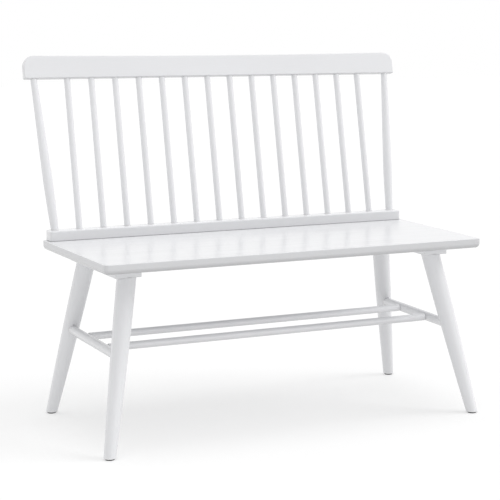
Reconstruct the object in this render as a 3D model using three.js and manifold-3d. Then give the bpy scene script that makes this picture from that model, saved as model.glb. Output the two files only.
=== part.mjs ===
// Deacons bench in painted hardwood: a plank seat screwed to two cleats, four splayed round legs joined by
// round stretchers, and a leaning back of straight spindles and two turned posts between a shoe rail and a
// crest rail.
// Millimetres and degrees. +X runs along the bench, +Y to its back, +Z up.
// The origin is on the floor, under the middle of the overall box.
import * as THREE from "three";
import { mergeVertices } from "three/addons/utils/BufferGeometryUtils.js";
import Module from "manifold-3d";

const wasm = await Module();
wasm.setup();

// Driving dimensions

const fit = {
  gap: 0.3, // between faces that meet, and round a tenon in its bore
  overrun: 6, // how far a cutter runs past the face that it opens
};

const seat = {
  height: 450, // floor to the sitting surface
  thickness: 24,
  depth: 461,
  frontWidth: 981,
  backWidth: 1016, // the plank widens to the back
  cornerRadius: 14.5,
  topArris: 1.6,
  underRound: 12,
};

const shoeRail = {
  height: 25.2,
  depth: 42,
  backInset: 0.5, // from the seat's back edge
  endInset: 8.5, // from the seat's side edge
  cornerRadius: 8,
  arris: 3,
  screwBays: [-6, -3, 0, 3, 6], // spindle bays that hold a screw, counted from the middle
};

const back = {
  rake: 11.6, // how far the spindles lean back
  spindleCount: 14,
  clearLength: 381.8, // along the spindles, from the shoe rail to the crest rail
  backInset: 14, // from the shoe rail's back face to the spindles' axes
};

const spindle = {
  diameter: 15.7,
  shoeTenon: 18, // how far spindles and posts run into the shoe rail
  crestTenon: 20, // and into the crest rail
  crestTenonDiameter: 12,
};

const post = {
  endInset: 20, // from the shoe rail's end to the post's axis
  splay: 3.43, // how far each post leans out
  footDiameter: 19.2,
  bellyDiameter: 24.1,
  topDiameter: 16.3,
  bellyShare: 0.335, // of the clear length, up from the shoe rail
  taperPower: 1.12,
  tipChamfer: 1.2,
};

const crestRail = {
  thickness: 20,
  height: 58.8, // at its ends
  dip: 3.3, // how far the top edge sinks in the middle
  overhang: 25.3, // past the post's axis
  topCornerRadius: 27,
  lowCornerRadius: 4,
  arris: 3.5,
};

const cleat = {
  width: 65,
  thickness: 22,
  pastLegs: 19.8, // how far each end runs past the axis of its leg
  sideInset: 85.5, // from the seat's side edge to the cleat's middle
  cornerRadius: 3,
  arris: 2,
  screwOffset: 16, // the screws zigzag about the cleat's middle line
  screwShares: [-0.34, -0.115, 0.115, 0.34], // of the leg spacing, from the middle between the legs
};

const leg = {
  frontSetback: 103.3, // from the seat's front edge to the axis, where the leg meets its cleat
  spacing: 280.9, // front to rear axis there
  sideInset: 88.5, // from the seat's side edge to the axis there
  sideSplay: 10.9,
  foreSplay: 12.1,
  topDiameter: 45.8,
  footDiameter: 28,
  taperPower: 1.65,
  tenonDiameter: 25,
};

const glide = {
  diameter: 22,
  height: 3,
  arris: 0.9,
  pinDiameter: 2.8,
  pinLength: 15,
};

const sideStretcher = {
  height: 224.5, // floor to the axis
  diameter: 23,
  tenonDiameter: 16,
  tenonPastAxis: 6, // how far the tenon runs past the leg's axis
  tipChamfer: 1,
};

const longStretcher = {
  diameter: 18.5,
  frontSetback: 173.5, // from the seat's front edge to the front one's axis
  spacing: 141,
  tenonDiameter: 11,
  tenonPastAxis: 3.5, // how far the tenon runs past the side stretcher's axis
  tipChamfer: 1,
};

const screw = {
  headDiameter: 9.5,
  rimHeight: 0.6,
  coneHeight: 2.4,
  shankDiameter: 5,
  tipLength: 5,
  cleatLength: 38,
  shoeLength: 43,
};

// Facet counts

const facets = {
  spindle: 14,
  post: 18,
  leg: 24,
  stretcher: 18,
  glide: 14,
  screw: 8,
  legBands: 7,
  postBands: 5, // on each side of the belly
  dipPoints: 8,
  corner: 4,
  largeCorner: 6,
  smallCorner: 2,
  edge: 2, // steps round an arris
};

// Places that several pieces share

const toRadians = THREE.MathUtils.degToRad;
const seatUnderside = seat.height - seat.thickness;
const cleatUnderside = seatUnderside - fit.gap - cleat.thickness;
const seatFront = -seat.depth / 2;
const sideTaper = Math.atan((seat.backWidth - seat.frontWidth) / 2 / seat.depth);
const shoeUnderside = seat.height + fit.gap;
const shoeTop = shoeUnderside + shoeRail.height;
const shoeBack = seat.depth / 2 - shoeRail.backInset;
const shoeMiddle = shoeBack - shoeRail.depth / 2;
const shoeHalfLength = seatHalfWidthAt(shoeMiddle) - shoeRail.endInset;
const spindleY = shoeBack - back.backInset;
const postFootX = shoeHalfLength - post.endInset;
const spindlePitch = (2 * postFootX) / (back.spindleCount + 1);
const postTopX = postFootX + back.clearLength * Math.tan(toRadians(post.splay));
const frontLegY = seatFront + leg.frontSetback;
const rearLegY = frontLegY + leg.spacing;
const footHeight = glide.height + fit.gap;

function seatHalfWidthAt(y) {
  return THREE.MathUtils.lerp(seat.frontWidth, seat.backWidth, y / seat.depth + 1 / 2) / 2;
}

// Materials

function whitePaint() {
  return new THREE.MeshStandardMaterial({ color: 0xf1f1f4, roughness: 0.35, metalness: 0 });
}

function blackPlastic() {
  return new THREE.MeshStandardMaterial({ color: 0x141414, roughness: 0.6, metalness: 0 });
}

function zincSteel() {
  return new THREE.MeshStandardMaterial({ color: 0xb9bdc2, roughness: 0.35, metalness: 1 });
}

// Solids and the joins and cuts between them

function toSolid(geometry, matrix = new THREE.Matrix4()) {
  const bare = geometry.clone().applyMatrix4(matrix);
  bare.deleteAttribute("normal");
  bare.deleteAttribute("uv");
  const merged = mergeVertices(bare);
  return new wasm.Manifold(
    new wasm.Mesh({
      numProp: 3,
      vertProperties: merged.attributes.position.array,
      triVerts: new Uint32Array(merged.index.array),
    }),
  );
}

function toGeometry(solid) {
  const mesh = solid.getMesh();
  const geometry = new THREE.BufferGeometry();
  geometry.setAttribute("position", new THREE.BufferAttribute(mesh.vertProperties, 3));
  geometry.setIndex(new THREE.BufferAttribute(mesh.triVerts, 1));
  const faceted = geometry.toNonIndexed();
  faceted.computeVertexNormals();
  return faceted;
}

function relativeMatrix(from, to) {
  return to.matrixWorld.clone().invert().multiply(from.matrixWorld);
}

// Cuts a cutter out of a mesh. The cutter is a geometry in the frame of another object.
function cut(mesh, cutter, cutterFrame) {
  const solid = toSolid(mesh.geometry).subtract(toSolid(cutter, relativeMatrix(cutterFrame, mesh)));
  mesh.geometry = toGeometry(solid);
}

function join(mesh, addition) {
  mesh.geometry = toGeometry(toSolid(mesh.geometry).add(toSolid(addition)));
}

// Keeps the part of a mesh that lies between two heights in the frame of another object
function trim(mesh, low, high, frame) {
  const span = 2 * seat.backWidth;
  const slice = new THREE.BoxGeometry(span, span, high - low);
  slice.translate(0, 0, (low + high) / 2);
  mesh.geometry = toGeometry(toSolid(mesh.geometry).intersect(toSolid(slice, relativeMatrix(frame, mesh))));
}

// A round body turned about its own Z axis. The profile is pairs of radius and height, from the lower end up.
function turned(profile, segments) {
  const points = profile.map(([radius, height]) => new THREE.Vector2(radius, height));
  return new THREE.LatheGeometry(points, segments).rotateX(Math.PI / 2);
}

// A plain round rod between two heights, its ends chamfered
function rod(diameter, low, high, segments, chamfer = 0) {
  const radius = diameter / 2;
  const profile = [[0, low], [radius - chamfer, low]];
  if (chamfer > 0) {
    profile.push([radius, low + chamfer], [radius, high - chamfer]);
  }
  profile.push([radius - chamfer, high], [0, high]);
  return turned(profile, segments);
}

// Outlines and planks

function outwardNormal(from, to) {
  return new THREE.Vector2(to.y - from.y, from.x - to.x).normalize();
}

// The points of an anticlockwise outline drawn in by an inset, its corners rounded
function roundedOutline(corners, inset) {
  const points = [];
  corners.forEach((corner, i) => {
    const before = corners[(i + corners.length - 1) % corners.length];
    const after = corners[(i + 1) % corners.length];
    const normalIn = outwardNormal(before.at, corner.at);
    const normalOut = outwardNormal(corner.at, after.at);
    const reach = Math.max(corner.radius, inset) / (1 + normalIn.dot(normalOut));
    const centre = corner.at.clone().addScaledVector(normalIn.clone().add(normalOut), -reach);
    const radius = Math.max(corner.radius - inset, 0);
    const start = normalIn.angle();
    const sweep = THREE.MathUtils.euclideanModulo(normalOut.angle() - start, 2 * Math.PI);
    for (let step = 0; step <= corner.steps; step += 1) {
      const angle = start + (corner.steps > 0 ? (sweep * step) / corner.steps : 0);
      points.push(new THREE.Vector2(Math.cos(angle), Math.sin(angle)).multiplyScalar(radius).add(centre));
    }
  });
  return points;
}

function corner(x, y, radius = 0, steps = 0) {
  return { at: new THREE.Vector2(x, y), radius, steps };
}

// Insets and heights up a plank's edge: a quarter round below, a straight face and a quarter round above
function edgeProfile(thickness, lowRadius, highRadius) {
  const profile = [];
  const lowSteps = lowRadius > highRadius ? facets.corner : facets.edge;
  for (let step = 0; step <= lowSteps; step += 1) {
    const angle = ((Math.PI / 2) * step) / lowSteps;
    profile.push({ inset: lowRadius * (1 - Math.sin(angle)), height: lowRadius * (1 - Math.cos(angle)) });
  }
  for (let step = 0; step <= facets.edge; step += 1) {
    const angle = ((Math.PI / 2) * step) / facets.edge;
    const height = thickness - highRadius * (1 - Math.sin(angle));
    profile.push({ inset: highRadius * (1 - Math.cos(angle)), height });
  }
  return profile.filter(({ height }, i) => i === 0 || height > profile[i - 1].height);
}

// A flat body with the given outline, standing on Z 0
function plank(corners, thickness, lowRadius, highRadius) {
  const profile = edgeProfile(thickness, lowRadius, highRadius);
  const rings = profile.map(({ inset }) => roundedOutline(corners, inset));
  const count = rings[0].length;
  const positions = rings.flatMap((ring, level) =>
    ring.flatMap((point) => [point.x, point.y, profile[level].height]),
  );
  const index = [];
  for (let level = 0; level < rings.length - 1; level += 1) {
    for (let i = 0; i < count; i += 1) {
      const here = level * count + i;
      const next = level * count + ((i + 1) % count);
      index.push(here, next, here + count, next, next + count, here + count);
    }
  }
  const top = (rings.length - 1) * count;
  THREE.ShapeUtils.triangulateShape(rings[0], []).forEach(([a, b, c]) => index.push(c, b, a));
  THREE.ShapeUtils.triangulateShape(rings.at(-1), []).forEach(([a, b, c]) => {
    index.push(top + a, top + b, top + c);
  });
  const geometry = new THREE.BufferGeometry();
  geometry.setAttribute("position", new THREE.Float32BufferAttribute(positions, 3));
  geometry.setIndex(index);
  return geometry;
}

// The assembly: every piece is a named mesh in this group or in the leaning group of the back

const bench = new THREE.Group();
const leaningBack = new THREE.Group();
leaningBack.position.set(0, spindleY, shoeTop);
leaningBack.rotation.x = -toRadians(back.rake);
bench.add(leaningBack);

function addPiece(parent, name, geometry, material) {
  const mesh = new THREE.Mesh(geometry, material);
  mesh.name = name;
  parent.add(mesh);
  return mesh;
}

function settle() {
  bench.updateMatrixWorld(true);
}

const sides = [
  { name: "left", x: -1 },
  { name: "right", x: 1 },
];
const ends = [
  { name: "front", y: -1, legY: frontLegY },
  { name: "rear", y: 1, legY: rearLegY },
];

// Seat

function makeSeat() {
  const front = seat.frontWidth / 2;
  const rear = seat.backWidth / 2;
  const radius = seat.cornerRadius;
  const corners = [
    corner(-front, seatFront, radius, facets.corner),
    corner(front, seatFront, radius, facets.corner),
    corner(rear, -seatFront, radius, facets.corner),
    corner(-rear, -seatFront, radius, facets.corner),
  ];
  const geometry = plank(corners, seat.thickness, seat.underRound, seat.topArris);
  const mesh = addPiece(bench, "seat", geometry, whitePaint());
  mesh.position.z = seatUnderside;
  return mesh;
}

// Shoe rail

function makeShoeRail() {
  const end = shoeHalfLength;
  const half = shoeRail.depth / 2;
  const radius = shoeRail.cornerRadius;
  const corners = [
    corner(-end, -half, radius, facets.corner),
    corner(end, -half, radius, facets.corner),
    corner(end, half, radius, facets.corner),
    corner(-end, half, radius, facets.corner),
  ];
  const geometry = plank(corners, shoeRail.height, 0, shoeRail.arris);
  const mesh = addPiece(bench, "shoe_rail", geometry, whitePaint());
  mesh.position.set(0, shoeMiddle, shoeUnderside);
  return mesh;
}

// Crest rail, drawn in its own front view and laid on the plane of the spindles

function makeCrestRail() {
  const wide = postTopX + crestRail.overhang;
  const dipStart = wide - crestRail.topCornerRadius;
  const topEdge = [];
  for (let i = 1; i < facets.dipPoints; i += 1) {
    const share = 1 - (2 * i) / facets.dipPoints;
    const sink = crestRail.dip * (1 - share ** 2);
    topEdge.push(corner(dipStart * share, crestRail.height - sink));
  }
  const corners = [
    corner(-wide, 0, crestRail.lowCornerRadius, facets.smallCorner),
    corner(wide, 0, crestRail.lowCornerRadius, facets.smallCorner),
    corner(wide, crestRail.height, crestRail.topCornerRadius, facets.largeCorner),
    ...topEdge,
    corner(-wide, crestRail.height, crestRail.topCornerRadius, facets.largeCorner),
  ];
  const geometry = plank(corners, crestRail.thickness, crestRail.arris, crestRail.arris);
  const mesh = addPiece(leaningBack, "crest_rail", geometry, whitePaint());
  mesh.rotation.x = Math.PI / 2;
  mesh.position.set(0, crestRail.thickness / 2, back.clearLength);
  return mesh;
}

// Spindles and posts, in blind bores: full size in the shoe rail, shouldered under the crest rail

function makeSpindles(shoe, crest) {
  const shoulder = back.clearLength - fit.gap;
  const shape = (grow) => {
    const radius = spindle.diameter / 2 + grow;
    const tenon = spindle.crestTenonDiameter / 2 + grow;
    const low = -spindle.shoeTenon - grow;
    const high = back.clearLength + spindle.crestTenon + grow;
    return turned(
      [
        [0, low],
        [radius, low],
        [radius, shoulder],
        [tenon, shoulder],
        [tenon, high],
        [0, high],
      ],
      facets.spindle,
    );
  };
  for (let i = 0; i < back.spindleCount; i += 1) {
    const mesh = addPiece(leaningBack, `spindle_${i + 1}`, shape(0), whitePaint());
    mesh.position.x = spindlePitch * (i - (back.spindleCount - 1) / 2);
    settle();
    cut(shoe, shape(fit.gap), mesh);
    cut(crest, shape(fit.gap), mesh);
  }
}

// A post swells from the shoe rail to its belly and tapers to the crest rail. Its upper end is still untrimmed.
function postBody(length, grow) {
  const foot = post.footDiameter / 2 + grow;
  const belly = post.bellyDiameter / 2 + grow;
  const top = post.topDiameter / 2 + grow;
  const low = -spindle.shoeTenon - grow;
  const high = length + post.topDiameter;
  const profile = [[0, low], [foot - post.tipChamfer, low], [foot, low + post.tipChamfer]];
  for (let band = 0; band <= facets.postBands; band += 1) {
    const share = band / facets.postBands;
    const radius = THREE.MathUtils.lerp(foot, belly, Math.sin((share * Math.PI) / 2));
    profile.push([radius, length * post.bellyShare * share]);
  }
  for (let band = 1; band <= facets.postBands; band += 1) {
    const share = band / facets.postBands;
    const radius = THREE.MathUtils.lerp(belly, top, share ** post.taperPower);
    profile.push([radius, length * THREE.MathUtils.lerp(post.bellyShare, 1, share)]);
  }
  profile.push([top, high], [0, high]);
  return turned(profile, facets.post);
}

function makePosts(shoe, crest) {
  const length = back.clearLength / Math.cos(toRadians(post.splay));
  const root = length - spindle.crestTenonDiameter;
  const tip = length + spindle.crestTenon;
  const tenon = rod(spindle.crestTenonDiameter, root, tip, facets.post, post.tipChamfer);
  const bore = rod(spindle.crestTenonDiameter + 2 * fit.gap, root, tip + fit.gap, facets.post);
  for (const side of sides) {
    const mesh = addPiece(leaningBack, `${side.name}_back_post`, postBody(length, 0), whitePaint());
    mesh.position.x = side.x * postFootX;
    mesh.rotation.y = side.x * toRadians(post.splay);
    settle();
    trim(mesh, -back.clearLength, back.clearLength - fit.gap, leaningBack);
    join(mesh, tenon);
    cut(shoe, postBody(length, fit.gap), mesh);
    cut(crest, bore, mesh);
  }
}

// Cleats, screwed across the grain under the seat, along its side edges

function makeCleat(side) {
  const half = cleat.width / 2;
  const end = leg.spacing / 2 + cleat.pastLegs;
  const corners = [
    corner(-half, -end, cleat.cornerRadius, facets.smallCorner),
    corner(half, -end, cleat.cornerRadius, facets.smallCorner),
    corner(half, end, cleat.cornerRadius, facets.smallCorner),
    corner(-half, end, cleat.cornerRadius, facets.smallCorner),
  ];
  const geometry = plank(corners, cleat.thickness, cleat.arris, 0);
  const mesh = addPiece(bench, `${side.name}_cleat`, geometry, whitePaint());
  const middleY = (frontLegY + rearLegY) / 2;
  const middleX = seatHalfWidthAt(middleY) - cleat.sideInset;
  mesh.position.set(side.x * middleX, middleY, cleatUnderside);
  mesh.rotation.z = -side.x * sideTaper;
  return mesh;
}

// Legs: turned, splayed two ways, cut level at the floor and under the cleat, with a round tenon up into it

function legUp(side, end) {
  const outX = side.x * Math.tan(toRadians(leg.sideSplay));
  const outY = end.y * Math.tan(toRadians(leg.foreSplay));
  return new THREE.Vector3(-outX, -outY, 1);
}

// The point where a leg's axis crosses a height
function legAxisAt(side, end, height) {
  const top = new THREE.Vector3(side.x * (seatHalfWidthAt(end.legY) - leg.sideInset), end.legY, cleatUnderside);
  return top.addScaledVector(legUp(side, end), height - cleatUnderside);
}

function legBody(grow) {
  const stretch = legUp(sides[0], ends[0]).length();
  const length = cleatUnderside * stretch;
  const extension = leg.topDiameter;
  const top = leg.topDiameter / 2 + grow;
  const foot = leg.footDiameter / 2 + grow;
  const profile = [[0, -length - extension], [foot, -length - extension]];
  for (let band = 0; band <= facets.legBands; band += 1) {
    const share = band / facets.legBands;
    const radius = THREE.MathUtils.lerp(top, foot, (1 - share) ** leg.taperPower);
    profile.push([radius, length * (share - 1)]);
  }
  profile.push([top, extension], [0, extension]);
  return turned(profile, facets.leg);
}

function legTenonLength() {
  const stretch = legUp(sides[0], ends[0]).length();
  const tilt = Math.acos(1 / stretch);
  return cleat.thickness * stretch - (leg.tenonDiameter / 2) * Math.tan(tilt);
}

function makeLeg(side, end, cleatMesh) {
  const mesh = addPiece(bench, `${end.name}_${side.name}_leg`, legBody(0), whitePaint());
  mesh.position.copy(legAxisAt(side, end, cleatUnderside));
  mesh.quaternion.setFromUnitVectors(new THREE.Vector3(0, 0, 1), legUp(side, end).normalize());
  settle();
  trim(mesh, footHeight, cleatUnderside - fit.gap, bench);
  const root = -leg.tenonDiameter;
  join(mesh, rod(leg.tenonDiameter, root, legTenonLength(), facets.leg));
  const bore = rod(leg.tenonDiameter + 2 * fit.gap, root, legTenonLength() + fit.overrun, facets.leg);
  cut(cleatMesh, bore, mesh);
  return mesh;
}

// Glides: a rounded black button under each foot, its pin driven up into the leg

function makeGlide(side, end, legMesh) {
  const radius = glide.diameter / 2;
  const pin = glide.pinDiameter / 2;
  const top = glide.height + glide.pinLength;
  const geometry = turned(
    [
      [0, 0],
      [radius - glide.arris, 0],
      [radius, glide.arris],
      [radius, glide.height],
      [pin, glide.height],
      [pin, top - pin],
      [0, top],
    ],
    facets.glide,
  );
  const mesh = addPiece(bench, `${end.name}_${side.name}_glide`, geometry, blackPlastic());
  mesh.position.copy(legAxisAt(side, end, glide.height)).setZ(0);
  settle();
  cut(legMesh, rod(glide.pinDiameter + 2 * fit.gap, 0, top + fit.gap, facets.glide), mesh);
}

// Side stretchers, from leg to leg, scribed to the legs' round sides with a tenon into each

function makeSideStretcher(side, legs) {
  const axisPoints = ends.map((end) => legAxisAt(side, end, sideStretcher.height));
  const [front, rear] = axisPoints;
  const half = front.distanceTo(rear) / 2;
  const body = rod(sideStretcher.diameter, -half, half, facets.stretcher);
  const mesh = addPiece(bench, `${side.name}_side_stretcher`, body, whitePaint());
  mesh.position.copy(front).lerp(rear, 1 / 2);
  const along = rear.clone().sub(front).normalize();
  mesh.quaternion.setFromUnitVectors(new THREE.Vector3(0, 0, 1), along);
  settle();

  const tip = half + sideStretcher.tenonPastAxis;
  const grownLeg = legBody(fit.gap);
  legs.forEach((legMesh) => cut(mesh, grownLeg, legMesh));
  join(mesh, rod(sideStretcher.tenonDiameter, -tip, tip, facets.stretcher, sideStretcher.tipChamfer));
  const end = tip + fit.gap;
  const bore = rod(sideStretcher.tenonDiameter + 2 * fit.gap, -end, end, facets.stretcher);
  legs.forEach((legMesh) => cut(legMesh, bore, mesh));
  return { mesh, front, rear };
}

// Long stretchers, between the side stretchers, square shouldered with a round tenon at each end

function makeLongStretcher(end, sideStretchers) {
  const middle = seatFront + longStretcher.frontSetback + longStretcher.spacing / 2;
  const y = middle + (end.y * longStretcher.spacing) / 2;
  const { front, rear } = sideStretchers[1];
  const run = rear.clone().sub(front);
  const axisX = front.x + (run.x * (y - front.y)) / run.y;
  const taper = Math.atan(run.x / run.y);
  const sideRadius = sideStretcher.diameter / 2 / Math.cos(taper);
  const shoulder = axisX - sideRadius - (longStretcher.diameter / 2) * Math.tan(taper) - fit.gap;
  const tip = axisX + longStretcher.tenonPastAxis;
  const radius = longStretcher.diameter / 2;
  const tenon = longStretcher.tenonDiameter / 2;
  const chamfer = longStretcher.tipChamfer;
  const halfProfile = [
    [radius, shoulder],
    [tenon, shoulder],
    [tenon, tip - chamfer],
    [tenon - chamfer, tip],
    [0, tip],
  ];
  const mirrored = halfProfile.map(([r, x]) => [r, -x]).reverse();
  const geometry = turned([...mirrored, ...halfProfile], facets.stretcher);
  const mesh = addPiece(bench, `${end.name}_long_stretcher`, geometry, whitePaint());
  mesh.position.set(0, y, sideStretcher.height);
  mesh.rotation.y = Math.PI / 2;
  settle();
  const reach = tip + fit.gap;
  const bore = rod(longStretcher.tenonDiameter + 2 * fit.gap, -reach, reach, facets.stretcher);
  sideStretchers.forEach((stretcher) => cut(stretcher.mesh, bore, mesh));
}

// Countersunk screws, driven up from below

function screwShape(length, grow, overrun) {
  const head = screw.headDiameter / 2 + grow;
  const shank = screw.shankDiameter / 2 + grow;
  return turned(
    [
      [0, -overrun],
      [head, -overrun],
      [head, screw.rimHeight],
      [shank, screw.rimHeight + screw.coneHeight],
      [shank, length - screw.tipLength],
      [0, length + grow],
    ],
    facets.screw,
  );
}

function makeScrew(name, length, at, pieces) {
  const mesh = addPiece(bench, name, screwShape(length, 0, 0), zincSteel());
  mesh.position.copy(at);
  settle();
  pieces.forEach((piece) => cut(piece, screwShape(length, fit.gap, fit.overrun), mesh));
}

function makeCleatScrews(side, cleatMesh, seatMesh) {
  cleat.screwShares.forEach((share, i) => {
    const offset = side.x * (i % 2 === 0 ? cleat.screwOffset : -cleat.screwOffset);
    const at = new THREE.Vector3(offset, share * leg.spacing, 0).applyMatrix4(cleatMesh.matrixWorld);
    makeScrew(`${side.name}_cleat_screw_${i + 1}`, screw.cleatLength, at, [cleatMesh, seatMesh]);
  });
}

function makeShoeScrews(seatMesh, shoe) {
  shoeRail.screwBays.forEach((bay, i) => {
    const at = new THREE.Vector3(bay * spindlePitch, shoeMiddle, seatUnderside);
    makeScrew(`shoe_rail_screw_${i + 1}`, screw.shoeLength, at, [seatMesh, shoe]);
  });
}

// Building the bench

const seatMesh = makeSeat();
const shoe = makeShoeRail();
const crest = makeCrestRail();
settle();
makeSpindles(shoe, crest);
makePosts(shoe, crest);
makeShoeScrews(seatMesh, shoe);

const sideStretchers = sides.map((side) => {
  const cleatMesh = makeCleat(side);
  settle();
  const legs = ends.map((end) => makeLeg(side, end, cleatMesh));
  ends.forEach((end, i) => makeGlide(side, end, legs[i]));
  makeCleatScrews(side, cleatMesh, seatMesh);
  return makeSideStretcher(side, legs);
});
ends.forEach((end) => makeLongStretcher(end, sideStretchers));

// Moves the bench over the origin
settle();
const middle = new THREE.Box3().setFromObject(bench, true).getCenter(new THREE.Vector3());
bench.position.set(-middle.x, -middle.y, 0);

export default bench;
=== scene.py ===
import bmesh
import bpy
import math
import random
from mathutils import Matrix, Vector


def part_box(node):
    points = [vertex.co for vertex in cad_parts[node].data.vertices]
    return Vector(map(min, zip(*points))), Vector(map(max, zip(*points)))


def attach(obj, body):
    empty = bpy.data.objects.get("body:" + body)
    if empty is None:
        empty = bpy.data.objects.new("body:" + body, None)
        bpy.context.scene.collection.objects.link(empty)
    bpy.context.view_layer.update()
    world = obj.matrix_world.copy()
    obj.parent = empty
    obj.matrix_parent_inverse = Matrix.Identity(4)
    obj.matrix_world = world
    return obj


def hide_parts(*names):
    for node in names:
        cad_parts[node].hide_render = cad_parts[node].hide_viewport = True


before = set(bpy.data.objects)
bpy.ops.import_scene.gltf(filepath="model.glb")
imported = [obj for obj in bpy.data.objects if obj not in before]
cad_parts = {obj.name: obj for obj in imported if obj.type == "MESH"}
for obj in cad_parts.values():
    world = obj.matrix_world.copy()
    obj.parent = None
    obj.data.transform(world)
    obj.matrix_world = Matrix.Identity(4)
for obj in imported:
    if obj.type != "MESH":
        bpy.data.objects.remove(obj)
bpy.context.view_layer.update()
print("frame loaded:", len(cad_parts), "nodes")

scene = bpy.context.scene
root = "root"  # nothing on the bench moves, so every piece rides on the one body
grainName = "grain"  # attribute that holds each piece's own coordinates, Z along its grain
seatLow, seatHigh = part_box("seat")
# Y below is counted from the seat's middle
home = Matrix.Translation((0, (seatLow.y + seatHigh.y) / 2, 0))
sameSpot = 1e-6  # points closer than this are one
grainSpread = 5  # how far apart the pieces' own coordinates may lie
sides = (("left", -1), ("right", 1))
ends = (("front", -1), ("rear", 1))


# Shape tools

def spinProfile(profile, steps):
    # profile is (radius, height) pairs, turned about Z
    bm = bmesh.new()
    verts = [bm.verts.new((radius, 0, height)) for radius, height in profile]
    edges = [bm.edges.new(pair) for pair in zip(verts, verts[1:])]
    bmesh.ops.spin(bm, geom=verts + edges, cent=(0, 0, 0), axis=(0, 0, 1), angle=2 * math.pi,
                   steps=steps, use_merge=True, use_duplicate=False)
    bmesh.ops.remove_doubles(bm, verts=bm.verts, dist=sameSpot)
    bmesh.ops.recalc_face_normals(bm, faces=bm.faces)
    return bm


def slab(corners, thickness, lowArris, highArris, steps):
    # corners are (x, y, radius, segments), anticlockwise; the slab stands on Z 0
    bm = bmesh.new()
    bm.faces.new([bm.verts.new((x, y, 0)) for x, y, radius, segments in corners])
    bm.verts.ensure_lookup_table()
    rounded = [(vert, corner) for vert, corner in zip(bm.verts, corners) if corner[2] > 0]
    reach = [turnAt(vert) / 2 for vert, corner in rounded]
    for (vert, corner), halfTurn in zip(rounded, reach):
        bmesh.ops.bevel(bm, geom=[vert], offset=corner[2] * math.tan(halfTurn), offset_type="OFFSET",
                        segments=corner[3], profile=0.5, affect="VERTICES", material=-1)
    bm.faces.ensure_lookup_table()
    raised = bmesh.ops.extrude_face_region(bm, geom=list(bm.faces))
    top = [item for item in raised["geom"] if isinstance(item, bmesh.types.BMVert)]
    bmesh.ops.translate(bm, vec=(0, 0, thickness), verts=top)
    bmesh.ops.recalc_face_normals(bm, faces=bm.faces)
    roundRim(bm, 0, lowArris, steps)
    roundRim(bm, thickness, highArris, steps)
    return bm


def rectangle(halfX, halfY, radius, steps):
    return [(-halfX, -halfY, radius, steps), (halfX, -halfY, radius, steps),
            (halfX, halfY, radius, steps), (-halfX, halfY, radius, steps)]


def turnAt(vert):
    # how far the outline turns at a corner
    first, second = [(edge.other_vert(vert).co - vert.co).normalized() for edge in vert.link_edges]
    return math.pi - first.angle(second)


def roundEdges(bm, edges, arris, steps):
    bmesh.ops.bevel(bm, geom=edges, offset=arris, offset_type="OFFSET", segments=steps, profile=0.5,
                    affect="EDGES", material=-1)


def roundRim(bm, height, arris, steps):
    if arris <= 0:
        return
    rim = [edge for edge in bm.edges if all(abs(vert.co.z - height) < sameSpot for vert in edge.verts)]
    roundEdges(bm, rim, arris, steps)


def circleAt(bm, middle, radius, height, steps):
    ring = []
    for step in range(steps):
        angle = 2 * math.pi * step / steps
        across, along = radius * math.cos(angle), radius * math.sin(angle)
        ring.append(bm.verts.new((middle.x + across, middle.y + along, height)))
    return ring


def loopEdges(bm, verts):
    return [bm.edges.new((first, second)) for first, second in zip(verts, verts[1:] + verts[:1])]


def joinLoops(bm, low, high):
    for index in range(len(low)):
        bm.faces.new((low[index - 1], low[index], high[index], high[index - 1]))


def sinkHoles(bm, middles):
    # countersunk holes for wood screws, in the flat face at Z 0
    flat = max((face for face in bm.faces if face.normal.z < -0.999), key=lambda face: face.calc_area())
    rim = list(flat.edges)
    bmesh.ops.delete(bm, geom=[flat], context="FACES_ONLY")
    for middle in middles:
        head, shank = screw["head"] + screw["gap"], screw["shank"] + screw["gap"]
        deep = screw["rim"] + screw["cone"]
        rings = [circleAt(bm, middle, radius, height, screw["steps"])
                 for radius, height in ((head, 0), (head, screw["rim"]), (shank, deep))]
        rim += loopEdges(bm, rings[0])
        joinLoops(bm, rings[0], rings[1])
        joinLoops(bm, rings[1], rings[2])
        bm.faces.new(rings[2])
    bmesh.ops.triangle_fill(bm, edges=rim, use_beauty=True)
    bmesh.ops.recalc_face_normals(bm, faces=bm.faces)


def screwSpot(node, place):
    # the foot of a CAD screw, in the coordinates of the piece that it is sunk in
    low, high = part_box(node)
    return (home @ place).inverted() @ Vector(((low.x + high.x) / 2, (low.y + high.y) / 2, low.z))


def finishPiece(bm, name, place, nodes, material, along="Z", smoothAngle=40):
    # puts the piece in place, keeps its own coordinates for the finish, hangs it on the body and hides
    # the CAD nodes that it stands for
    seed = random.Random(name)
    shift = Vector([seed.uniform(-grainSpread, grainSpread) for axis in range(3)])
    turns = {"Z": (0, 1, 2), "X": (1, 2, 0), "Y": (2, 0, 1)}[along]
    layer = bm.verts.layers.float_vector.new(grainName)
    for vert in bm.verts:
        vert[layer] = Vector([vert.co[axis] for axis in turns]) + shift
    bm.transform(home @ place)
    for face in bm.faces:
        face.smooth = True
    for edge in bm.edges:
        edge.smooth = len(edge.link_faces) == 2 and edge.calc_face_angle() < math.radians(smoothAngle)
    mesh = bpy.data.meshes.new(name)
    bm.to_mesh(mesh)
    bm.free()
    piece = bpy.data.objects.new(name, mesh)
    scene.collection.objects.link(piece)
    mesh.materials.append(material)
    weighted = piece.modifiers.new("flat faces stay flat", "WEIGHTED_NORMAL")
    weighted.keep_sharp = True
    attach(piece, root)
    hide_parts(*nodes)
    return piece


# Finish tools

def addNode(tree, kind, place, **settings):
    node = tree.nodes.new(kind)
    node.location = place
    for key, value in settings.items():
        if key in node.inputs:
            node.inputs[key].default_value = value
        else:
            setattr(node, key, value)
    return node


def newMaterial(name):
    material = bpy.data.materials.new(name)
    material.use_nodes = True
    return material, material.node_tree, material.node_tree.nodes["Principled BSDF"]


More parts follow.
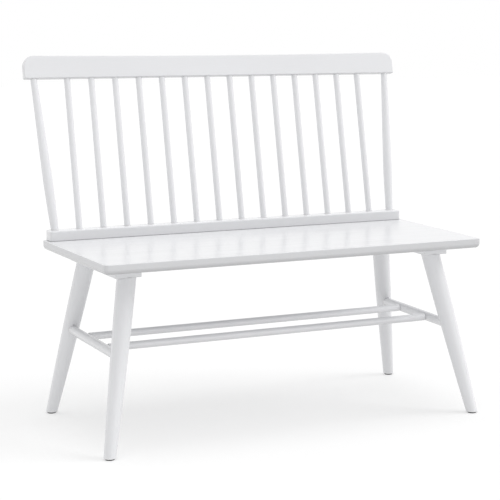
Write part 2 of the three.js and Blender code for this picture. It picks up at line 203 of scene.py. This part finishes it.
def stretchedNoise(tree, source, scale, detail, place, noiseScale=1):
    mapping = addNode(tree, "ShaderNodeMapping", place, Scale=scale)
    noise = addNode(tree, "ShaderNodeTexNoise", (place[0] + 200, place[1]), Scale=noiseScale,
                    Detail=detail)
    tree.links.new(source, mapping.inputs["Vector"])
    tree.links.new(mapping.outputs["Vector"], noise.inputs["Vector"])
    return noise.outputs["Fac"]


def remap(tree, source, low, high, toLow, toHigh, place):
    node = addNode(tree, "ShaderNodeMapRange", place)
    for index, value in zip((1, 2, 3, 4), (low, high, toLow, toHigh)):
        node.inputs[index].default_value = value
    tree.links.new(source, node.inputs[0])
    return node.outputs[0]


def math2(tree, operation, first, second, place):
    node = addNode(tree, "ShaderNodeMath", place, operation=operation)
    for index, item in enumerate((first, second)):
        if isinstance(item, (int, float)):
            node.inputs[index].default_value = item
        else:
            tree.links.new(item, node.inputs[index])
    return node.outputs[0]


def mixColours(tree, share, first, second, place):
    mix = addNode(tree, "ShaderNodeMix", place, data_type="RGBA")
    mix.inputs[6].default_value = first
    mix.inputs[7].default_value = second
    tree.links.new(share, mix.inputs["Factor"])
    return mix.outputs[2]


def addBump(tree, shader, height, settings, place):
    bump = addNode(tree, "ShaderNodeBump", place, Strength=settings["bumpStrength"],
                   Distance=settings["bumpDistance"])
    tree.links.new(height, bump.inputs["Height"])
    tree.links.new(bump.outputs["Normal"], shader.inputs["Normal"])


# White paint

paint = {
    "colour": (0.889, 0.893, 0.911, 1),
    "shade": (0.66, 0.66, 0.68, 1),  # painted shade, in the corners where pieces meet
    "drift": 0.020,  # slow change of tone from place to place
    "edge": (0.80, 0.79, 0.77, 1),  # where the coat draws back from an arris
    "edgeReach": 0.0022,
    "edgeShare": 0.35,
    "edgeRange": (0.45, 0.85),  # inside occlusion, from an arris to a flat face
    "cornerReach": 0.006,
    "cornerRange": (0.25, 0.8),  # occlusion, from full shade to none
    "samples": 8,
    "roughLow": 0.17,
    "roughHigh": 0.27,
    "roughRange": (0.7, 1.3),
    "toneRange": (0.5, 1.0),
    "fibreScale": (900, 900, 26),
    "fibreDetail": 3,
    "fibreHeight": 0.5,
    "fibreTone": 0.5,
    "strokeScale": (260, 260, 5),
    "strokeDetail": 2,
    "strokeHeight": 0.3,
    "peelScale": 420,
    "peelDetail": 1,
    "peelHeight": 0.2,
    "slowScale": (6, 6, 1.5),
    "slowDetail": 2,
    "bumpDistance": 0.00012,
    "bumpStrength": 0.5,
    "turnedDown": -0.8,  # how far a face turns down for the deepest painted shade
    "downShade": 0.63,  # tone of the deepest painted shade, on a face turned down
    "unshadedFrom": 0.18,  # how far a face turns up before it has no painted shade
    # the plank's painted shade is deeper and reaches up its edge
    "plankDownShade": 0.50,
    "plankUnshadedFrom": 0.62,
    "ior": 1.5,
}


def makePaintGroup():
    # turns a piece's own coordinates into tone, roughness and height, with painted shade in corners and
    # on faces turned down
    tree = bpy.data.node_groups.new("paint over grain", "ShaderNodeTree")
    tree.interface.new_socket("Vector", in_out="INPUT", socket_type="NodeSocketVector")
    tree.interface.new_socket("Painted shade turned down", in_out="INPUT", socket_type="NodeSocketFloat")
    tree.interface.new_socket("No painted shade from", in_out="INPUT", socket_type="NodeSocketFloat")
    tree.interface.new_socket("Colour", in_out="OUTPUT", socket_type="NodeSocketColor")
    tree.interface.new_socket("Roughness", in_out="OUTPUT", socket_type="NodeSocketFloat")
    tree.interface.new_socket("Height", in_out="OUTPUT", socket_type="NodeSocketFloat")
    start = addNode(tree, "NodeGroupInput", (-900, 0))
    finish = addNode(tree, "NodeGroupOutput", (900, 0))
    vector = start.outputs["Vector"]
    fibre = stretchedNoise(tree, vector, paint["fibreScale"], paint["fibreDetail"], (-700, 300))
    stroke = stretchedNoise(tree, vector, paint["strokeScale"], paint["strokeDetail"], (-700, 0))
    peel = stretchedNoise(tree, vector, (1, 1, 1), paint["peelDetail"], (-700, -300), paint["peelScale"])
    slow = stretchedNoise(tree, vector, paint["slowScale"], paint["slowDetail"], (-700, -600))
    heightA = math2(tree, "MULTIPLY", fibre, paint["fibreHeight"], (-200, 300))
    heightB = math2(tree, "MULTIPLY_ADD", stroke, paint["strokeHeight"], (-200, 100))
    tree.links.new(heightA, heightB.node.inputs[2])
    heightC = math2(tree, "MULTIPLY_ADD", peel, paint["peelHeight"], (0, 100))
    tree.links.new(heightB, heightC.node.inputs[2])
    tree.links.new(heightC, finish.inputs["Height"])
    rough = math2(tree, "ADD", stroke, slow, (-200, -100))
    rough = remap(tree, rough, *paint["roughRange"], paint["roughLow"], paint["roughHigh"], (0, -100))
    tree.links.new(rough, finish.inputs["Roughness"])
    fibreTone = math2(tree, "MULTIPLY", fibre, paint["fibreTone"], (-200, -500))
    tone = math2(tree, "ADD", slow, fibreTone, (0, -400))
    tone = remap(tree, tone, *paint["toneRange"], 1 - paint["drift"], 1 + paint["drift"], (200, -400))
    # painted shade in the corners where pieces meet, deeper where the occlusion is
    corners = addNode(tree, "ShaderNodeAmbientOcclusion", (-200, -800), samples=paint["samples"],
                      Distance=paint["cornerReach"])
    depth = remap(tree, corners.outputs["AO"], *paint["cornerRange"], 0, 1, (0, -800))
    shaded = mixColours(tree, depth, paint["shade"], paint["colour"], (300, -700))
    rim = addNode(tree, "ShaderNodeAmbientOcclusion", (-200, -1000), samples=paint["samples"],
                  inside=True, Distance=paint["edgeReach"])
    worn = remap(tree, rim.outputs["AO"], *paint["edgeRange"], paint["edgeShare"], 0, (0, -1000))
    wear = addNode(tree, "ShaderNodeMix", (400, -900), data_type="RGBA")
    wear.inputs[7].default_value = paint["edge"]
    tree.links.new(worn, wear.inputs["Factor"])
    tree.links.new(shaded, wear.inputs[6])
    # painted shade on faces turned down, deeper the further a face turns down
    turned = addNode(tree, "ShaderNodeNewGeometry", (-400, -1300))
    split = addNode(tree, "ShaderNodeSeparateXYZ", (-200, -1300))
    tree.links.new(turned.outputs["Normal"], split.inputs[0])
    paintAndShade = remap(tree, split.outputs["Z"], paint["turnedDown"], 1, 0, 1, (0, -1300))
    tree.links.new(start.outputs["No painted shade from"], paintAndShade.node.inputs[2])
    tree.links.new(start.outputs["Painted shade turned down"], paintAndShade.node.inputs[3])
    tone = math2(tree, "MULTIPLY", tone, paintAndShade, (400, -500))
    scaled = addNode(tree, "ShaderNodeVectorMath", (600, -500), operation="SCALE")
    tree.links.new(wear.outputs[2], scaled.inputs[0])
    tree.links.new(tone, scaled.inputs["Scale"])
    tree.links.new(scaled.outputs[0], finish.inputs["Colour"])
    return tree


def makePaint(name, downShade, unshaded, group):
    # the second argument is the tone of the painted shade on a face turned down, and the third is how
    # far a face turns up before it has no painted shade
    material, tree, shader = newMaterial(name)
    shader.inputs["IOR"].default_value = paint["ior"]
    own = addNode(tree, "ShaderNodeAttribute", (-900, 0), attribute_name=grainName)
    paintAndShade = addNode(tree, "ShaderNodeGroup", (-600, 0), node_tree=group)
    paintAndShade.inputs["Painted shade turned down"].default_value = downShade
    paintAndShade.inputs["No painted shade from"].default_value = unshaded
    tree.links.new(own.outputs["Vector"], paintAndShade.inputs["Vector"])
    tree.links.new(paintAndShade.outputs["Colour"], shader.inputs["Base Color"])
    tree.links.new(paintAndShade.outputs["Roughness"], shader.inputs["Roughness"])
    addBump(tree, shader, paintAndShade.outputs["Height"], paint, (-300, -200))
    return material


# Black plastic of the glides

plastic = {
    "dark": (0.010, 0.010, 0.011, 1),
    "pale": (0.022, 0.022, 0.023, 1),
    "specular": 0.2,
    "roughLow": 0.45,
    "roughHigh": 0.65,
    "roughRange": (0.3, 0.7),
    "grainScale": 1800,
    "grainDetail": 2,
    "scuffScale": (120, 120, 400),
    "scuffDetail": 3,
    "bumpDistance": 0.00008,
    "bumpStrength": 0.4,
}


def makePlastic():
    material, tree, shader = newMaterial("black moulded plastic")
    shader.inputs["Specular IOR Level"].default_value = plastic["specular"]
    place = addNode(tree, "ShaderNodeTexCoord", (-1100, 0))
    grain = stretchedNoise(tree, place.outputs["Object"], (1, 1, 1), plastic["grainDetail"], (-900, 0),
                           plastic["grainScale"])
    scuffs = stretchedNoise(tree, place.outputs["Object"], plastic["scuffScale"], plastic["scuffDetail"],
                            (-900, -300))
    colour = mixColours(tree, scuffs, plastic["dark"], plastic["pale"], (-400, 200))
    tree.links.new(colour, shader.inputs["Base Color"])
    rough = remap(tree, scuffs, *plastic["roughRange"], plastic["roughLow"], plastic["roughHigh"],
                  (-400, -100))
    tree.links.new(rough, shader.inputs["Roughness"])
    addBump(tree, shader, grain, plastic, (-300, -300))
    return material


# Zinc plated steel of the screws

zinc = {
    "dull": (0.42, 0.43, 0.45, 1),
    "bright": (0.62, 0.63, 0.65, 1),
    "roughLow": 0.28,
    "roughHigh": 0.48,
    "roughRange": (0.3, 0.7),
    "spangleScale": 700,
    "spangleDetail": 3,
    "bumpDistance": 0.00005,
    "bumpStrength": 0.3,
}


def makeZinc():
    material, tree, shader = newMaterial("zinc plated steel")
    shader.inputs["Metallic"].default_value = 1
    place = addNode(tree, "ShaderNodeTexCoord", (-1100, 0))
    spangle = stretchedNoise(tree, place.outputs["Object"], (1, 1, 1), zinc["spangleDetail"], (-900, 0),
                             zinc["spangleScale"])
    colour = mixColours(tree, spangle, zinc["dull"], zinc["bright"], (-400, 200))
    tree.links.new(colour, shader.inputs["Base Color"])
    rough = remap(tree, spangle, *zinc["roughRange"], zinc["roughLow"], zinc["roughHigh"], (-400, -100))
    tree.links.new(rough, shader.inputs["Roughness"])
    addBump(tree, shader, spangle, zinc, (-300, -300))
    return material


paintGroup = makePaintGroup()
# the white paint has painted shade on faces turned down
whitePaint = makePaint("white satin paint", paint["downShade"], paint["unshadedFrom"], paintGroup)
# the plank's paint has deeper painted shade, on its edge and underside
plankPaint = makePaint("white satin paint, deeper painted shade below", paint["plankDownShade"], paint["plankUnshadedFrom"],
                       paintGroup)
blackPlastic = makePlastic()
zincSteel = makeZinc()
print("finishes made")


# Sizes of the wood screws, which the seat and the cleats need for their holes

screw = {
    "head": 0.00475,
    "rim": 0.0006,
    "cone": 0.0024,
    "shank": 0.0025,
    "tip": 0.005,
    "gap": 0.0002,
    "edge": 0.00015,
    "armLength": 0.0027,  # the driver recess, from its middle
    "armWidth": 0.0006,
    "armTaper": 0.45,
    "recessDepth": 0.0017,
    "steps": 32,
    "perCleat": 4,
    "underShoe": 5,
}


# Seat

seat = {
    "top": 0.450,
    "thickness": 0.024,
    "depth": 0.461,
    "frontWidth": 0.981,
    "backWidth": 1.016,
    "cornerRadius": 0.0105,  # sharper than the CAD seat, between what the photo's corners ask for
    "topArris": 0.0016,
    "underRound": 0.012,
    "leastRadius": 0.0003,  # where the round-over is wider than the corner
    "cornerSteps": 10,
    "underSteps": 10,
    "arrisSteps": 4,
}
seatTaper = math.atan((seat["backWidth"] - seat["frontWidth"]) / 2 / seat["depth"])


def seatHalfWidthAt(y):
    share = y / seat["depth"] + 0.5
    return (seat["frontWidth"] + (seat["backWidth"] - seat["frontWidth"]) * share) / 2


def seatRing(bm, inset, height):
    # the plank's outline, drawn in by an inset, as a round-over bit leaves it
    half = seat["depth"] / 2
    slope = math.tan(seatTaper)
    radius = max(seat["cornerRadius"] - inset, seat["leastRadius"])
    reach = inset + radius
    quarter = math.pi / 2
    corners = [(1, -1, -quarter, -seatTaper), (1, 1, -seatTaper, quarter),
               (-1, 1, quarter, math.pi + seatTaper), (-1, -1, math.pi + seatTaper, 3 * quarter)]
    ring = []
    for across, along, start, end in corners:
        y = along * (half - reach)
        x = across * (seat["frontWidth"] / 2 + slope * (y + half) - reach / math.cos(seatTaper))
        for step in range(seat["cornerSteps"] + 1):
            angle = start + (end - start) * step / seat["cornerSteps"]
            spot = (x + radius * math.cos(angle), y + radius * math.sin(angle), height)
            ring.append(bm.verts.new(spot))
    return ring


def makeSeat():
    bm = bmesh.new()
    under, arris = seat["underRound"], seat["topArris"]
    levels = []
    for step in range(seat["underSteps"] + 1):
        angle = math.pi / 2 * step / seat["underSteps"]
        levels.append((under * (1 - math.sin(angle)), under * (1 - math.cos(angle))))
    for step in range(seat["arrisSteps"] + 1):
        angle = math.pi / 2 * step / seat["arrisSteps"]
        height = seat["thickness"] - arris * (1 - math.sin(angle))
        levels.append((arris * (1 - math.cos(angle)), height))
    rings = [seatRing(bm, inset, height) for inset, height in levels]
    for low, high in zip(rings, rings[1:]):
        joinLoops(bm, low, high)
    bm.faces.new(rings[0])
    bm.faces.new(rings[-1])
    bmesh.ops.recalc_face_normals(bm, faces=bm.faces)
    bm.normal_update()
    place = Matrix.Translation((0, 0, seat["top"] - seat["thickness"]))
    screws = [f"shoe_rail_screw_{index + 1}" for index in range(screw["underShoe"])]
    sinkHoles(bm, [screwSpot(name, place) for name in screws])
    finishPiece(bm, "seat_plank", place, ["seat"], plankPaint, along="X")


makeSeat()
print("seat made")


# Shoe rail

shoeRail = {
    "low": 0.4503,
    "height": 0.0252,
    "depth": 0.042,
    "middleY": 0.209,
    "halfLength": 0.498684,
    "cornerRadius": 0.008,
    "cornerSteps": 10,
    "arris": 0.003,
    "lowArris": 0.0008,
    "arrisSteps": 5,
}
shoeTop = shoeRail["low"] + shoeRail["height"]


def makeShoeRail():
    corners = rectangle(shoeRail["halfLength"], shoeRail["depth"] / 2, shoeRail["cornerRadius"],
                        shoeRail["cornerSteps"])
    bm = slab(corners, shoeRail["height"], shoeRail["lowArris"], shoeRail["arris"],
              shoeRail["arrisSteps"])
    place = Matrix.Translation((0, shoeRail["middleY"], shoeRail["low"]))
    finishPiece(bm, "shoe_rail_moulded", place, ["shoe_rail"], whitePaint, along="X")


makeShoeRail()


# Leaning back

back = {
    "rake": 11.6,  # degrees
    "spindleY": 0.216,
    "clearLength": 0.3818,
    "postFootX": 0.478684,
}
leaning = (Matrix.Translation((0, back["spindleY"], shoeTop))
           @ Matrix.Rotation(-math.radians(back["rake"]), 4, "X"))

spindle = {
    "count": 14,
    "radius": 0.00785,
    "lowTenon": 0.018,
    "highTenon": 0.020,
    "tenonRadius": 0.006,
    "seated": 0.001,  # how far the shoulders bed in the crest rail
    "steps": 40,
}


def makeSpindles():
    pitch = 2 * back["postFootX"] / (spindle["count"] + 1)
    low = -spindle["lowTenon"]
    high = back["clearLength"] + spindle["highTenon"]
    radius, tenon = spindle["radius"], spindle["tenonRadius"]
    shoulder = back["clearLength"] + spindle["seated"]
    profile = [(0, low), (radius, low), (radius, shoulder), (tenon, shoulder), (tenon, high), (0, high)]
    for index in range(spindle["count"]):
        bm = spinProfile(profile, spindle["steps"])
        place = leaning @ Matrix.Translation((pitch * (index - (spindle["count"] - 1) / 2), 0, 0))
        finishPiece(bm, f"round_spindle_{index + 1}", place, [f"spindle_{index + 1}"], whitePaint)


post = {
    "splay": 3.43,  # degrees
    "foot": 0.0096,
    "belly": 0.01205,
    "top": 0.00815,
    "bellyShare": 0.335,
    "taperPower": 1.12,
    "chamfer": 0.0012,
    "bands": 16,
    "steps": 48,
}


def makePosts():
    length = back["clearLength"] / math.cos(math.radians(post["splay"]))
    low = -spindle["lowTenon"]
    high = length + spindle["highTenon"]
    chamfer = post["chamfer"]
    profile = [(0, low), (post["foot"] - chamfer, low), (post["foot"], low + chamfer)]
    for band in range(post["bands"] + 1):
        share = band / post["bands"]
        swell = math.sin(share * math.pi / 2)
        radius = post["foot"] + (post["belly"] - post["foot"]) * swell
        profile.append((radius, length * post["bellyShare"] * share))
    for band in range(1, post["bands"] + 1):
        share = band / post["bands"]
        radius = post["belly"] + (post["top"] - post["belly"]) * share ** post["taperPower"]
        profile.append((radius, length * (post["bellyShare"] + (1 - post["bellyShare"]) * share)))
    shoulder = length + spindle["seated"]
    tenon = spindle["tenonRadius"]
    profile += [(post["top"], shoulder), (tenon, shoulder), (tenon, high - chamfer),
                (tenon - chamfer, high), (0, high)]
    for side, sign in sides:
        bm = spinProfile(profile, post["steps"])
        place = (leaning @ Matrix.Translation((sign * back["postFootX"], 0, 0))
                 @ Matrix.Rotation(sign * math.radians(post["splay"]), 4, "Y"))
        finishPiece(bm, f"{side}_turned_post", place, [f"{side}_back_post"], whitePaint)


crestRail = {
    "thickness": 0.020,
    "height": 0.0588,
    "halfLength": 0.526868,
    "dip": 0.0033,
    "dipPoints": 24,
    "topCornerRadius": 0.027,
    "topCornerSteps": 16,
    "lowCornerRadius": 0.004,
    "lowCornerSteps": 6,
    "arris": 0.0035,
    "arrisSteps": 5,
}


def makeCrestRail():
    wide = crestRail["halfLength"]
    tall = crestRail["height"]
    dipStart = wide - crestRail["topCornerRadius"]
    topEdge = []
    for step in range(1, crestRail["dipPoints"]):
        share = 1 - 2 * step / crestRail["dipPoints"]
        topEdge.append((dipStart * share, tall - crestRail["dip"] * (1 - share ** 2), 0, 1))
    low = (crestRail["lowCornerRadius"], crestRail["lowCornerSteps"])
    high = (crestRail["topCornerRadius"], crestRail["topCornerSteps"])
    corners = [(-wide, 0, *low), (wide, 0, *low), (wide, tall, *high), *topEdge, (-wide, tall, *high)]
    bm = slab(corners, crestRail["thickness"], crestRail["arris"], crestRail["arris"],
              crestRail["arrisSteps"])
    place = (leaning @ Matrix.Translation((0, crestRail["thickness"] / 2, back["clearLength"]))
             @ Matrix.Rotation(math.pi / 2, 4, "X"))
    finishPiece(bm, "crest_rail_shaped", place, ["crest_rail"], whitePaint, along="X")


makeSpindles()
makePosts()
makeCrestRail()
print("back made")


# Cleats under the seat

cleat = {
    "width": 0.065,
    "thickness": 0.022,
    "halfLength": 0.16275,  # longer than the CAD cleats, so that less of a leg's top stands past it
    "underside": 0.4037,
    "x": 0.414253,
    "y": 0.01325,
    "cornerRadius": 0.003,
    "cornerSteps": 5,
    "arris": 0.0004,
    "arrisSteps": 3,
}


def makeCleats():
    corners = rectangle(cleat["width"] / 2, cleat["halfLength"], cleat["cornerRadius"],
                        cleat["cornerSteps"])
    for side, sign in sides:
        bm = slab(corners, cleat["thickness"], cleat["arris"], 0, cleat["arrisSteps"])
        place = (Matrix.Translation((sign * cleat["x"], cleat["y"], cleat["underside"]))
                 @ Matrix.Rotation(-sign * seatTaper, 4, "Z"))
        screws = [f"{side}_cleat_screw_{index + 1}" for index in range(screw["perCleat"])]
        sinkHoles(bm, [screwSpot(name, place) for name in screws])
        finishPiece(bm, f"{side}_cleat_bar", place, [f"{side}_cleat"], whitePaint,
                    along="Y")


makeCleats()


# Legs

leg = {
    "frontY": -0.1272,
    "rearY": 0.1537,
    "inset": 0.0885,
    "sideSplay": 10.9,  # degrees
    "foreSplay": 12.1,
    "top": 0.0229,
    "foot": 0.014,
    "taperPower": 1.65,
    "tenon": 0.0125,
    "footHeight": 0.0033,
    "bedded": 0.0002,  # how far a leg's shoulder beds in its cleat
    "bands": 20,
    "steps": 56,
    "rimArris": 0.0007,
    "rimSteps": 2,
}


def legUp(sign, end):
    return Vector((-sign * math.tan(math.radians(leg["sideSplay"])),
                   -end * math.tan(math.radians(leg["foreSplay"])), 1))


def legAxisAt(sign, end, height):
    y = leg["frontY"] if end < 0 else leg["rearY"]
    top = Vector((sign * (seatHalfWidthAt(y) - leg["inset"]), y, cleat["underside"]))
    return top + legUp(sign, end) * (height - cleat["underside"])


def alongAxis(start, direction):
    return Matrix.Translation(start) @ direction.to_track_quat("Z", "Y").to_matrix().to_4x4()


def trimLevel(bm, height, keepBelow):
    normal = (0, 0, 1) if keepBelow else (0, 0, -1)
    geom = list(bm.verts) + list(bm.edges) + list(bm.faces)
    sliced = bmesh.ops.bisect_plane(bm, geom=geom, dist=sameSpot, plane_co=(0, 0, height),
                                    plane_no=normal, clear_outer=True, clear_inner=False)
    rim = [item for item in sliced["geom_cut"] if isinstance(item, bmesh.types.BMEdge)]
    filled = bmesh.ops.holes_fill(bm, edges=rim, sides=0)
    bmesh.ops.recalc_face_normals(bm, faces=bm.faces)
    if keepBelow:
        return
    edges = list({edge for face in filled["faces"] for edge in face.edges})
    roundEdges(bm, edges, leg["rimArris"], leg["rimSteps"])


def makeLeg(side, sign, endName, end):
    up = legUp(sign, end)
    length = cleat["underside"] * up.length
    profile = [(0, -length - leg["top"]), (leg["foot"], -length - leg["top"])]
    for band in range(leg["bands"] + 1):
        share = band / leg["bands"]
        radius = leg["top"] + (leg["foot"] - leg["top"]) * (1 - share) ** leg["taperPower"]
        profile.append((radius, length * (share - 1)))
    profile += [(leg["top"], leg["top"]), (0, leg["top"])]
    bm = spinProfile(profile, leg["steps"])
    place = alongAxis(legAxisAt(sign, end, cleat["underside"]), up)
    bm.transform(place)
    trimLevel(bm, leg["footHeight"], keepBelow=False)
    trimLevel(bm, cleat["underside"] + leg["bedded"], keepBelow=True)
    bm.transform(place.inverted())
    tilt = up.angle(Vector((0, 0, 1)))
    tenonTop = cleat["thickness"] * up.length - leg["tenon"] * math.tan(tilt)
    tenon = spinProfile([(0, -leg["tenon"]), (leg["tenon"], -leg["tenon"]), (leg["tenon"], tenonTop),
                         (0, tenonTop)], leg["steps"])
    mesh = bpy.data.meshes.new("tenon")
    tenon.to_mesh(mesh)
    tenon.free()
    bm.from_mesh(mesh)
    bpy.data.meshes.remove(mesh)
    finishPiece(bm, f"{endName}_{side}_turned_leg", place, [f"{endName}_{side}_leg"], whitePaint)


for side, sign in sides:
    for endName, end in ends:
        makeLeg(side, sign, endName, end)
print("legs made")


# Glides

glide = {
    "radius": 0.011,
    "height": 0.003,
    "arris": 0.0009,
    "arrisSteps": 4,
    "topArris": 0.0003,
    "pin": 0.0014,
    "pinTop": 0.018,
    "steps": 40,
}


def makeGlides():
    radius, height = glide["radius"], glide["height"]
    arris, topArris = glide["arris"], glide["topArris"]
    profile = [(0, 0), (radius - arris, 0)]
    for step in range(1, glide["arrisSteps"] + 1):
        angle = math.pi / 2 * step / glide["arrisSteps"]
        profile.append((radius - arris * (1 - math.sin(angle)), arris * (1 - math.cos(angle))))
    profile += [(radius, height - topArris), (radius - topArris, height), (glide["pin"], height),
                (glide["pin"], glide["pinTop"] - glide["pin"]), (0, glide["pinTop"])]
    for side, sign in sides:
        for endName, end in ends:
            bm = spinProfile(profile, glide["steps"])
            foot = legAxisAt(sign, end, height)
            place = Matrix.Translation((foot.x, foot.y, 0))
            finishPiece(bm, f"{endName}_{side}_foot_glide", place, [f"{endName}_{side}_glide"],
                        blackPlastic)


makeGlides()


# Stretchers

sideStretcher = {
    "height": 0.2245,
    "radius": 0.0115,
    "steps": 48,
}


def makeSideStretchers():
    radius = sideStretcher["radius"]
    for side, sign in sides:
        front = legAxisAt(sign, -1, sideStretcher["height"])
        rear = legAxisAt(sign, 1, sideStretcher["height"])
        half = (rear - front).length / 2
        profile = [(0, -half), (radius, -half), (radius, half), (0, half)]
        bm = spinProfile(profile, sideStretcher["steps"])
        place = alongAxis((front + rear) / 2, rear - front)
        finishPiece(bm, f"{side}_side_rung", place, [f"{side}_side_stretcher"], whitePaint)


longStretcher = {
    "radius": 0.00925,
    "tenon": 0.0055,
    "tenonPastAxis": 0.0035,
    "frontY": -0.057,
    "rearY": 0.084,
    "gap": 0.0003,
    "arris": 0.0004,
    "steps": 44,
}


def makeLongStretchers():
    front = legAxisAt(1, -1, sideStretcher["height"])
    rear = legAxisAt(1, 1, sideStretcher["height"])
    run = rear - front
    taper = math.atan(run.x / run.y)
    radius, tenon, arris = longStretcher["radius"], longStretcher["tenon"], longStretcher["arris"]
    for endName, y in (("front", longStretcher["frontY"]), ("rear", longStretcher["rearY"])):
        axisX = front.x + run.x * (y - front.y) / run.y
        shoulder = (axisX - sideStretcher["radius"] / math.cos(taper) - radius * math.tan(taper)
                    - longStretcher["gap"])
        tip = axisX + longStretcher["tenonPastAxis"]
        half = [(radius, shoulder - arris), (radius - arris, shoulder), (tenon, shoulder), (tenon, tip),
                (0, tip)]
        profile = [(r, -x) for r, x in reversed(half)] + half
        bm = spinProfile(profile, longStretcher["steps"])
        place = (Matrix.Translation((0, y, sideStretcher["height"]))
                 @ Matrix.Rotation(math.pi / 2, 4, "Y"))
        finishPiece(bm, f"{endName}_long_rung", place, [f"{endName}_long_stretcher"], whitePaint)


makeSideStretchers()
makeLongStretchers()
print("stretchers made")


# Wood screws, driven up from below

def crossOutline(bm, arm, width, height):
    quarter = [(arm, -width), (arm, width), (width, width)]
    outline = []
    for turn in range(4):
        swing = Matrix.Rotation(math.pi / 2 * turn, 4, "Z")
        outline += [bm.verts.new(swing @ Vector((x, y, height))) for x, y in quarter]
    return outline


def makeScrew(node, name):
    low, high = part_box(node)
    length = high.z - low.z
    head, shank, edge = screw["head"], screw["shank"], screw["edge"]
    profile = [(head - edge, 0), (head, edge), (head, screw["rim"]),
               (shank, screw["rim"] + screw["cone"]), (shank, length - screw["tip"]), (0, length)]
    bm = spinProfile(profile, screw["steps"])
    rim = [item for item in bm.edges if item.is_boundary]
    arm, width, taper = screw["armLength"], screw["armWidth"], screw["armTaper"]
    mouth = crossOutline(bm, arm, width, 0)
    bed = crossOutline(bm, arm * taper, width * taper, screw["recessDepth"])
    bmesh.ops.triangle_fill(bm, edges=rim + loopEdges(bm, mouth), use_beauty=True)
    joinLoops(bm, mouth, bed)
    bm.faces.new(bed)
    bmesh.ops.recalc_face_normals(bm, faces=bm.faces)
    turn = Matrix.Rotation(random.Random(name).uniform(0, math.pi), 4, "Z")
    spot = home.inverted() @ Vector(((low.x + high.x) / 2, (low.y + high.y) / 2, low.z))
    finishPiece(bm, name, Matrix.Translation(spot) @ turn, [node], zincSteel)


for index in range(screw["underShoe"]):
    makeScrew(f"shoe_rail_screw_{index + 1}", f"shoe_rail_wood_screw_{index + 1}")
for side in ("left", "right"):
    for index in range(screw["perCleat"]):
        makeScrew(f"{side}_cleat_screw_{index + 1}", f"{side}_cleat_wood_screw_{index + 1}")
print("screws made")


# Floor and light

studio = {
    "floorSize": 60,
    "floorColour": (0.57, 0.57, 0.57, 1),
    "floorGlow": 0.53,  # what the floor adds to the light on the pieces
    "floorGlowSeen": 0.48,  # what it adds to its own tone
    "roomSeen": 1,  # what the camera and reflections see
    "horizonLight": 0.35,  # what the room sends to the pieces, near the floor
    "zenithLight": 0.82,  # and from above
}
softboxes = [  # name, strength, angle, direction
    ("overhead softbox", 0.44, 26, (0, 0, -1)),
    ("right softbox", 0.84, 34, (-0.917, 0.40, -0.75)),
]


def directShare(tree, place):
    # 1 for what the camera and reflections see, 0 for the light that the pieces get
    x, y = place
    path = addNode(tree, "ShaderNodeLightPath", place)
    direct = math2(tree, "ADD", path.outputs["Is Camera Ray"], path.outputs["Is Glossy Ray"],
                   (x + 200, y))
    direct = math2(tree, "ADD", direct, path.outputs["Is Transmission Ray"], (x + 400, y))
    return math2(tree, "MINIMUM", direct, 1, (x + 600, y))


def makeFloor():
    bm = bmesh.new()
    bmesh.ops.create_grid(bm, x_segments=1, y_segments=1, size=studio["floorSize"] / 2)
    mesh = bpy.data.meshes.new("floor")
    bm.to_mesh(mesh)
    bm.free()
    floor = bpy.data.objects.new("floor", mesh)
    scene.collection.objects.link(floor)
    material = bpy.data.materials.new("pale floor")
    material.use_nodes = True
    tree = material.node_tree
    tree.nodes.clear()
    output = addNode(tree, "ShaderNodeOutputMaterial", (600, 0))
    surface = addNode(tree, "ShaderNodeBsdfDiffuse", (0, -200), Color=studio["floorColour"])
    glow = addNode(tree, "ShaderNodeEmission", (0, 0))
    both = addNode(tree, "ShaderNodeAddShader", (300, 0))
    strength = remap(tree, directShare(tree, (-1100, 0)), 0, 1, studio["floorGlow"],
                     studio["floorGlowSeen"], (-200, 0))
    tree.links.new(strength, glow.inputs["Strength"])
    tree.links.new(surface.outputs[0], both.inputs[0])
    tree.links.new(glow.outputs[0], both.inputs[1])
    tree.links.new(both.outputs[0], output.inputs["Surface"])
    mesh.materials.append(material)


def makeWorld():
    world = bpy.data.worlds.new("white room")
    scene.world = world
    world.use_nodes = True
    tree = world.node_tree
    background = tree.nodes["Background"]
    background.inputs["Color"].default_value = (1, 1, 1, 1)
    place = addNode(tree, "ShaderNodeTexCoord", (-1100, -300))
    split = addNode(tree, "ShaderNodeSeparateXYZ", (-900, -300))
    tree.links.new(place.outputs["Generated"], split.inputs[0])
    room = remap(tree, split.outputs["Z"], 0, 1, studio["horizonLight"], studio["zenithLight"],
                 (-700, -300))
    mix = addNode(tree, "ShaderNodeMix", (-100, 0), data_type="FLOAT")
    mix.inputs[3].default_value = studio["roomSeen"]
    tree.links.new(directShare(tree, (-900, 0)), mix.inputs[0])
    tree.links.new(room, mix.inputs[2])
    tree.links.new(mix.outputs[0], background.inputs["Strength"])


def makeSun(name, strength, angle, direction):
    lamp = bpy.data.lights.new(name, "SUN")
    lamp.energy = strength
    lamp.angle = math.radians(angle)
    sun = bpy.data.objects.new(name, lamp)
    sun.rotation_euler = Vector(direction).to_track_quat("-Z", "Y").to_euler()
    scene.collection.objects.link(sun)


makeFloor()
makeWorld()
for name, strength, angle, direction in softboxes:
    makeSun(name, strength, angle, direction)
print("studio made")


# Camera, at the photo's viewing angle

camera = {
    "place": (-1.39399, -3.10851, 0.92800),
    "yaw": 0.411089,  # radians
    "pitch": 0.147381,
    "roll": 0.006763,
    "lens": 98.769,
    "sensor": 36,
    "clipEnd": 100,
}


def makeCamera():
    data = bpy.data.cameras.new("camera")
    data.lens = camera["lens"]
    data.sensor_width = camera["sensor"]
    data.sensor_fit = "HORIZONTAL"
    data.clip_end = camera["clipEnd"]
    view = bpy.data.objects.new("camera", data)
    view.matrix_world = (home @ Matrix.Translation(camera["place"])
                         @ Matrix.Rotation(-camera["yaw"], 4, "Z")
                         @ Matrix.Rotation(math.pi / 2 - camera["pitch"], 4, "X")
                         @ Matrix.Rotation(-camera["roll"], 4, "Z"))
    scene.collection.objects.link(view)
    scene.camera = view


makeCamera()
scene.view_settings.view_transform = "Standard"

print("camera made")
